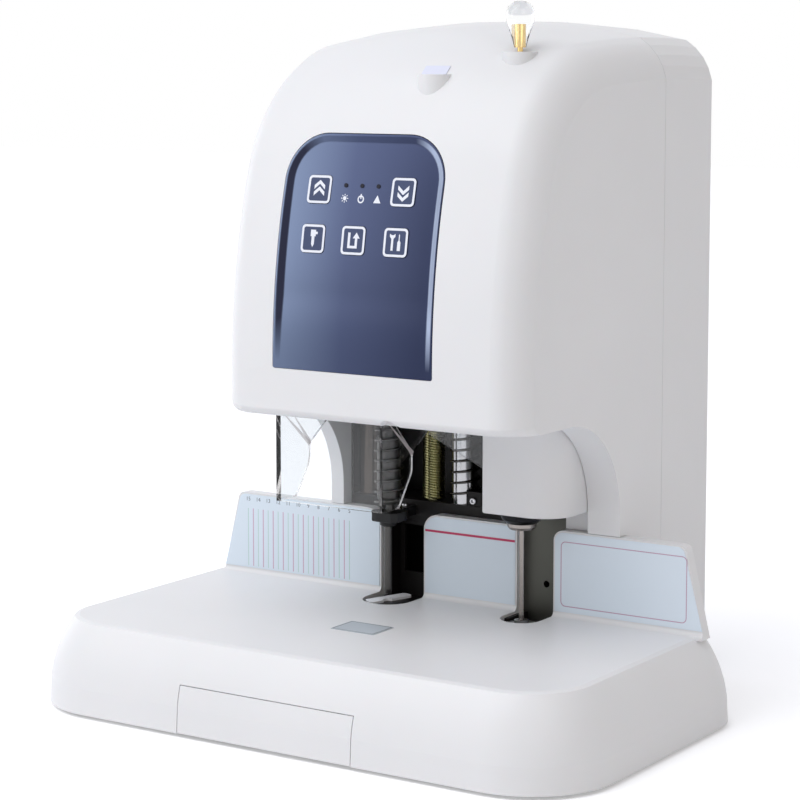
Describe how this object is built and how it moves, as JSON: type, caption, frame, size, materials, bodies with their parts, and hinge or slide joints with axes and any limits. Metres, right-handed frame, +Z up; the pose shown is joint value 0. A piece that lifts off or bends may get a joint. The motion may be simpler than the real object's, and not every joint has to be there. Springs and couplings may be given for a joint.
{
  "type": "electric document drilling and riveting machine",
  "caption": "Desk machine that drills a stack of paper at one station and heads a plastic tube rivet through it at the next.",
  "frame": {"origin": "on the floor under the centre of the machine's bounding box", "axes": "+Z up, +Y to the back, +X to the operator's right, operator at -Y"},
  "size_m": [0.477, 0.371, 0.527],
  "materials": {
    "white_shell": "satin injection moulding",
    "panel_gloss": "glossy navy",
    "key_gloss": "navy with a pale frame",
    "lamp": "clear lens",
    "sheet": "pale printed sheet",
    "rubber": "matte",
    "black_steel": "satin black",
    "steel": "ground",
    "chrome": "polished",
    "cast": "machined",
    "bronze": "sintered bush",
    "spring_steel": "oiled wire",
    "dark_anodised": "black anodised",
    "clear": "clear acrylic",
    "brass": "polished",
    "board": "circuit board",
    "galvanised": "galvanised sheet",
    "black_plastic": "matte black",
    "nylon": "off-white",
    "grey_plate": "silver grey sheet"
  },
  "bodies": {
    "housing": {"base_housing": "white_shell", "base_plate": "galvanised", "rubber_feet": "rubber", "fence_sheets": "sheet", "drawer_rails": "galvanised", "tower_shell": "white_shell", "rear_cover": "white_shell", "control_panel": "panel_gloss", "lamp_lenses": "lamp", "panel_board": "board", "bed_plate": "black_steel", "frame_back": "black_steel", "frame_cheeks": "black_steel", "cross_beam": "black_steel", "drill_channel": "black_steel", "rivet_column": "steel", "guide_posts": "chrome", "top_plate": "black_steel", "post_clamp": "steel", "press_motor": "dark_anodised", "post_spring": "spring_steel", "drill_spring": "spring_steel", "cutter_pad": "nylon", "pad_clamp": "steel", "drill_guide": "black_plastic", "rivet_anvil": "steel", "rivet_housing": "white_shell", "clear_guard": "clear", "clear_skirt": "clear", "table_plate": "grey_plate", "power_inlet": "black_plastic", "power_supply": "galvanised", "control_board": "board"},
    "press": {"press_carriage": "cast", "carriage_bushes": "bronze", "drill_motor": "dark_anodised", "ram_rod": "chrome", "heater_block": "dark_anodised", "rivet_tip": "chrome", "guide_pin": "chrome"},
    "drill": {"drill_spindle": "steel", "drill_chuck": "steel", "drill_bit": "steel"},
    "lead_screw": {"lead_screw": "steel", "screw_coupling": "dark_anodised"},
    "drawer": {"drawer_front": "white_shell", "drawer_tray": "white_shell"},
    "key_up": {"key_up": "key_gloss"},
    "key_down": {"key_down": "key_gloss"},
    "key_drill": {"key_drill": "key_gloss"},
    "key_reset": {"key_reset": "key_gloss"},
    "key_rivet": {"key_rivet": "key_gloss"},
    "power_switch": {"rocker_switch": "black_plastic"},
    "cleaning_pin": {"cleaning_pin": "brass", "pin_grip": "clear"}
  },
  "joints": [
    {"name": "press_slide", "type": "slide", "parent": "housing", "child": "press", "axis": [0, 0, 1], "range_m": [0, 0.06], "deforming": ["post_spring", "drill_spring"]},
    {"name": "drill_spin", "type": "hinge", "parent": "press", "child": "drill", "pos_m": [-0.0375, 0.0225, 0.2], "axis": [0, 0, 1], "continuous": true},
    {"name": "lead_screw_turn", "type": "hinge", "parent": "housing", "child": "lead_screw", "pos_m": [-0.0222, 0.0645, 0.3], "axis": [0, 0, 1], "continuous": true},
    {"name": "drawer_slide", "type": "slide", "parent": "housing", "child": "drawer", "axis": [0, -1, 0], "range_m": [0, 0.11]},
    {"name": "key_up_press", "type": "slide", "parent": "housing", "child": "key_up", "axis": [0, 0.9732, -0.2299], "range_m": [0, 0.001], "stiffness_N_per_m": 400, "springref_m": -0.001},
    {"name": "key_down_press", "type": "slide", "parent": "housing", "child": "key_down", "axis": [0, 0.974, -0.2267], "range_m": [0, 0.001], "stiffness_N_per_m": 400, "springref_m": -0.001},
    {"name": "key_drill_press", "type": "slide", "parent": "housing", "child": "key_drill", "axis": [0, 0.9864, -0.1642], "range_m": [0, 0.001], "stiffness_N_per_m": 400, "springref_m": -0.001},
    {"name": "key_reset_press", "type": "slide", "parent": "housing", "child": "key_reset", "axis": [0, 0.9872, -0.1597], "range_m": [0, 0.001], "stiffness_N_per_m": 400, "springref_m": -0.001},
    {"name": "key_rivet_press", "type": "slide", "parent": "housing", "child": "key_rivet", "axis": [0, 0.987, -0.1606], "range_m": [0, 0.001], "stiffness_N_per_m": 400, "springref_m": -0.001},
    {"name": "power_rock", "type": "hinge", "parent": "housing", "child": "power_switch", "pos_m": [0.0745, 0.1799, 0.039], "axis": [1, 0, 0], "range_deg": [0, 12]},
    {"name": "pin_lift", "type": "slide", "parent": "housing", "child": "cleaning_pin", "axis": [0, 0, 1], "range_m": [0, 0.09]}
  ],
  "couplings": [
    {"joint": "lead_screw_turn", "follows": "press_slide", "rad_per_m": -785.4}
  ]
}
